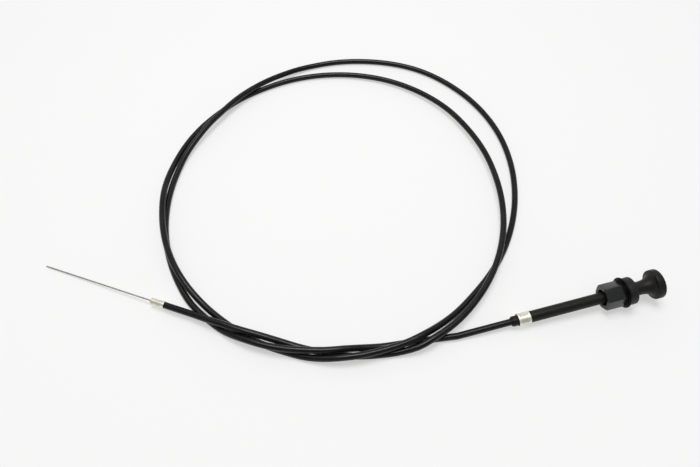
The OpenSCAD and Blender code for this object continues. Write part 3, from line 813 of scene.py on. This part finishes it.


# The crimp's pressed flats are painted darker as duller metal and painted shade, and its
# ridges and lips stay bright as a painted highlight.
crimp_zinc = metal("crimp_zinc", (0.96, 0.94, 0.85), (0.64, 0.63, 0.54), 0.52, HEAD_WAY,
                   line=HEAD_START, flat=4.66, ridge=4.84)
ferrule_zinc = metal("ferrule_zinc", (0.95, 0.91, 0.79), (0.72, 0.69, 0.58), 0.36,
                     TAIL_WAY)
WIRE_LOOK = (0.50, 0.50, 0.47), (0.36, 0.36, 0.33), 0.34
ARMOUR_LOOK = (0.45, 0.45, 0.45), (0.3, 0.3, 0.3), 0.4
drawn_wire = metal("drawn_wire", *WIRE_LOOK, TAIL_WAY)
head_wire = metal("head_wire", *WIRE_LOOK, HEAD_WAY)
drawn_rod = metal("drawn_rod", (0.66, 0.66, 0.65), (0.52, 0.52, 0.51), 0.20, HEAD_WAY)
armour_head = metal("armour_head", *ARMOUR_LOOK, HEAD_WAY)
armour_tail = metal("armour_tail", *ARMOUR_LOOK, TAIL_WAY)
liner_white = black("liner_white", (0.70, 0.69, 0.65), 0.42, cloud=0.06)
print("metal finishes made")

# %% Finishes on the pieces
for piece, finish in (
        (sheath, sheath_skin), (knob, knob_plastic), (rod, drawn_rod),
        (bushing, bushing_plastic), (thread, bushing_plastic), (seal, washer_rubber),
        (washer, washer_black), (nut, nut_black), (guide, tube_plastic),
        (crimp, crimp_zinc), (sleeve, sleeve_rubber), (ferrule, ferrule_zinc),
        (wire, drawn_wire)):
    paint(piece, finish)
for name, finish in (
        ("knob", knob_plastic), ("bushing", bushing_plastic),
        ("sealing_washer", washer_rubber), ("plain_washer", washer_black),
        ("mounting_nut", nut_black), ("guide_tube", tube_plastic),
        ("crimp_ferrule", crimp_zinc), ("strain_sleeve", sleeve_rubber),
        ("pull_rod", drawn_rod), ("stop_collar", drawn_rod),
        ("friction_ring", ring_rubber), ("core_wire_head", head_wire),
        ("core_wire_tail", drawn_wire), ("tail_ferrule", ferrule_zinc),
        ("armour_head_end", armour_head), ("armour_tail_end", armour_tail),
        ("liner_head_end", liner_white), ("liner_tail_end", liner_white),
        ("sheath_head_end", sleeve_rubber), ("sheath_run", sleeve_rubber),
        ("sheath_tail_end", sleeve_rubber)):
    paint(nodes[name], finish)

# %% [markdown]
# ## The cord
# The sheath is seen from end to end: it leaves the strain sleeve and is about
# 2.1 m long. It is springy conduit, so it keeps its wide loops, and it ends in
# its ferrule, from which the bare wire stands out. The cell below only computes
# the point where it leaves the strain sleeve.

# %% Cord
tuple(head_point(0))

# %% [markdown]
# ## Table and light
# The table is a white sheet. It is lit like everything else, so it takes the
# soft shadow that the sheath throws, and to the camera and in reflections it
# looks as white as paper. The main light is a wide panel behind and above the
# cable, so highlights run along the far side of the sheath. The room fills in
# from the back and the sides, and is darker high up behind the camera. Its
# walls are pale all round near the table, so that every side has a pale ground.
# Nothing hides the table's far edge: it is so large that it meets the horizon.

# %% Table
bpy.ops.object.select_all(action="DESELECT")
bpy.ops.mesh.primitive_plane_add(size=60, location=(-0.1, 0.1, -0.0001))
table = bpy.context.object
table.name = "table"
bpy.ops.object.transform_apply(location=True, rotation=True, scale=True)
paper = Finish("table_paper", Base_Color=(0.92, 0.92, 0.92, 1), Roughness=0.8,
               Specular_IOR_Level=0.1)
seen = (paper.node("LightPath", out="Is Camera Ray")
        + paper.node("LightPath", out="Is Glossy Ray")
        + paper.node("LightPath", out="Is Transmission Ray"))
glow = paper.tree.nodes.new("ShaderNodeEmission")
glow.inputs["Color"].default_value = (0.99, 0.99, 0.985, 1)
mix = paper.tree.nodes.new("ShaderNodeMixShader")
paper.feed(mix.inputs["Fac"], seen * 0.5)
paper.tree.links.new(paper.shader.outputs["BSDF"], mix.inputs[1])
paper.tree.links.new(glow.outputs["Emission"], mix.inputs[2])
paper.tree.links.new(mix.outputs["Shader"],
                     paper.tree.nodes["Material Output"].inputs["Surface"])
paint(table, paper.material)

# %% Room light
ROOM, BEHIND, NEAR_TABLE = 0.42, 0.28, 0.26
world = bpy.data.worlds.new("room")
bpy.context.scene.world = world
room = Graph(world)
way = {"Vector": room.node("TexCoord", out="Generated")}
depth_way = room.node("SeparateXYZ", None, way, out="Y")
skyline = 1 - room.band(room.node("SeparateXYZ", None, way, out="Z"), 0.12, 0.35)
background = room.tree.nodes["Background"]
room.feed(background.inputs["Color"], (1, 1, 1, 1))
room.feed(background.inputs["Strength"],
          ROOM + depth_way * BEHIND + skyline * (1 - depth_way) * NEAR_TABLE)


def panel(name, spot, aim, size, power):
    light = bpy.data.lights.new(name, "AREA")
    light.size, light.energy = size, power
    lamp = bpy.data.objects.new(name, light)
    lamp.location = spot
    lamp.rotation_euler = (Vector(aim) - Vector(spot)).to_track_quat("-Z", "Y").to_euler()
    bpy.context.scene.collection.objects.link(lamp)


panel("soft_box", spot=(-0.15, 0.30, 1.5), aim=(-0.15, 0.1, 0), size=0.7, power=13.5)
